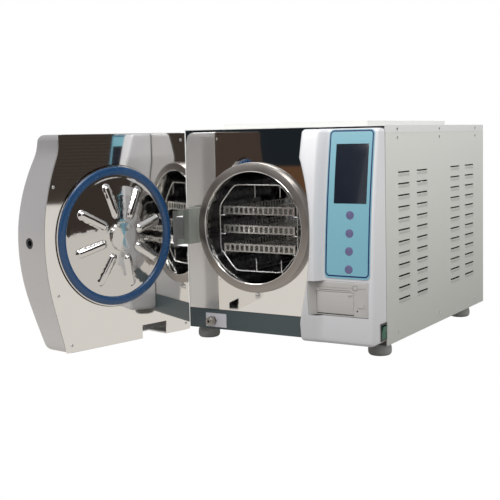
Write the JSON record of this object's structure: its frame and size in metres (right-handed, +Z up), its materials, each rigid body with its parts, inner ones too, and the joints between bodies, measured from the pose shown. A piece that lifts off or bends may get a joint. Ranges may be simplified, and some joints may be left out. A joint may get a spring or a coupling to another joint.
{
  "type": "benchtop autoclave",
  "caption": "Benchtop steam autoclave with an open swing door, dished pressure disc, ringed chamber mouth with tray rack, control fascia and printer, and louvered side panels",
  "frame": {"origin": "bench plane at the centre of the rectangle of the four feet", "axes": "+Z up from the bench, -Y out of the chamber mouth towards the user, +X towards the control fascia"},
  "size_m": [0.6355, 1.0391, 0.489],
  "materials": {
    "sheet_steel": "zinc-plated sheet",
    "side_paint": "fine texture paint",
    "white_plastic": "moulded",
    "polished_plate": "mirror polished stainless",
    "strip_plastic": "dark grey",
    "foot_rubber": "moulded",
    "screw_steel": "bright",
    "polished_steel": "polished",
    "insulation": "fibre blanket",
    "dark_plastic": "moulded",
    "brass_fitting": "turned",
    "aluminium_fins": "plain",
    "board_green": "laminate",
    "copper": "drawn tube",
    "pale_plastic": "pale lilac grey",
    "fascia_paint": "light silver-grey lacquer",
    "fascia_plastic": "light grey",
    "panel_blue": "printed membrane without lettering",
    "screen_glass": "dark window",
    "button_violet": "embossed key",
    "paper": "thermal paper, stated as plastic",
    "switch_green": "translucent green",
    "hinge_paint": "light grey-green",
    "gasket_blue": "silicone",
    "tray_aluminium": "satin"
  },
  "bodies": {
    "cabinet": {"base_pan": "sheet_steel", "left_side_panel": "side_paint", "right_side_panel": "side_paint", "top_cover": "side_paint", "top_rails": "sheet_steel", "lid_hinges": "sheet_steel", "rear_panel": "side_paint", "front_frame": "sheet_steel", "front_plate": "polished_plate", "base_strip": "strip_plastic", "feet": "foot_rubber", "cabinet_screws": "screw_steel", "chamber_flange": "polished_steel", "pressure_vessel": "polished_steel", "insulation_jacket": "insulation", "vessel_saddle": "sheet_steel", "safety_valve": "brass_fitting", "steam_generator": "polished_steel", "vacuum_pump": "dark_plastic", "condenser": "aluminium_fins", "fan_housing": "dark_plastic", "water_tank": "white_plastic", "control_board": "board_green", "power_inlet": "dark_plastic", "exhaust_port": "screw_steel", "copper_pipes": "copper", "drain_plate": "pale_plastic", "drain_connector": "screw_steel", "fascia": "fascia_paint", "membrane_panel": "panel_blue", "display": "screen_glass", "printer_frame": "fascia_plastic", "switch_bezel": "dark_plastic", "lock_actuator": "dark_plastic", "hinge_block": "hinge_paint", "hinge_pin": "screw_steel", "door_sensor": "dark_plastic"},
    "door": {"door_arm": "sheet_steel", "door_shell": "fascia_paint", "door_inner_panel": "polished_plate", "lock_socket": "dark_plastic", "door_screws": "screw_steel"},
    "disc": {"pressure_disc": "polished_steel", "gasket": "gasket_blue"},
    "bolt": {"lock_bolt": "screw_steel"},
    "lid": {"tank_lid": "white_plastic"},
    "fan": {"fan_rotor": "dark_plastic"},
    "sleeve": {"drain_sleeve": "screw_steel"},
    "key_1": {"button_1": "button_violet"},
    "key_2": {"button_2": "button_violet"},
    "key_3": {"button_3": "button_violet"},
    "key_4": {"button_4": "button_violet"},
    "feed_key": {"feed_button": "dark_plastic"},
    "printer_flap": {"printer_door": "fascia_plastic"},
    "roll": {"paper_roll": "paper"},
    "rocker": {"switch_rocker": "switch_green"},
    "rack": {"tray_rack": "screw_steel"},
    "low_tray": {"tray_1": "tray_aluminium"},
    "middle_tray": {"tray_2": "tray_aluminium"},
    "high_tray": {"tray_3": "tray_aluminium"}
  },
  "joints": [
    {"name": "door_hinge", "type": "hinge", "parent": "cabinet", "child": "door", "pos_m": [-0.2475, -0.3342, 0.261], "axis": [0, 0, 1], "range_deg": [0, 103]},
    {"name": "disc_float", "type": "slide", "parent": "door", "child": "disc", "axis": [-0.9744, 0.225, 0], "range_m": [0, 0.003]},
    {"name": "bolt_slide", "type": "slide", "parent": "cabinet", "child": "bolt", "axis": [-1, 0, 0], "range_m": [0, 0.0065]},
    {"name": "lid_hinge", "type": "hinge", "parent": "cabinet", "child": "lid", "pos_m": [0, 0.244, 0.4835], "axis": [-1, 0, 0], "range_deg": [0, 95]},
    {"name": "fan_spin", "type": "hinge", "parent": "cabinet", "child": "fan", "pos_m": [0.11, 0.309, 0.36], "axis": [0, 1, 0], "continuous": true},
    {"name": "sleeve_slide", "type": "slide", "parent": "cabinet", "child": "sleeve", "axis": [0, 1, 0], "range_m": [0, 0.0025]},
    {"name": "key_1_press", "type": "slide", "parent": "cabinet", "child": "key_1", "axis": [0, 1, 0], "range_m": [0, 0.0008]},
    {"name": "key_2_press", "type": "slide", "parent": "cabinet", "child": "key_2", "axis": [0, 1, 0], "range_m": [0, 0.0008]},
    {"name": "key_3_press", "type": "slide", "parent": "cabinet", "child": "key_3", "axis": [0, 1, 0], "range_m": [0, 0.0008]},
    {"name": "key_4_press", "type": "slide", "parent": "cabinet", "child": "key_4", "axis": [0, 1, 0], "range_m": [0, 0.0008]},
    {"name": "feed_press", "type": "slide", "parent": "cabinet", "child": "feed_key", "axis": [0, 1, 0], "range_m": [0, 0.0008]},
    {"name": "flap_hinge", "type": "hinge", "parent": "cabinet", "child": "printer_flap", "pos_m": [0.163, -0.3325, 0.101], "axis": [1, 0, 0], "range_deg": [0, 70]},
    {"name": "roll_spin", "type": "hinge", "parent": "cabinet", "child": "roll", "pos_m": [0.163, -0.3105, 0.12], "axis": [1, 0, 0], "continuous": true},
    {"name": "rocker_tilt", "type": "hinge", "parent": "cabinet", "child": "rocker", "pos_m": [0.244, -0.2885, 0.059], "axis": [0, 1, 0], "range_deg": [-14, 0]},
    {"name": "rack_slide", "type": "slide", "parent": "cabinet", "child": "rack", "axis": [0, 1, 0], "range_m": [-0.3, 0]},
    {"name": "low_tray_slide", "type": "slide", "parent": "rack", "child": "low_tray", "axis": [0, 1, 0], "range_m": [-0.25, 0]},
    {"name": "middle_tray_slide", "type": "slide", "parent": "rack", "child": "middle_tray", "axis": [0, 1, 0], "range_m": [-0.25, 0]},
    {"name": "high_tray_slide", "type": "slide", "parent": "rack", "child": "high_tray", "axis": [0, 1, 0], "range_m": [-0.25, 0]}
  ]
}
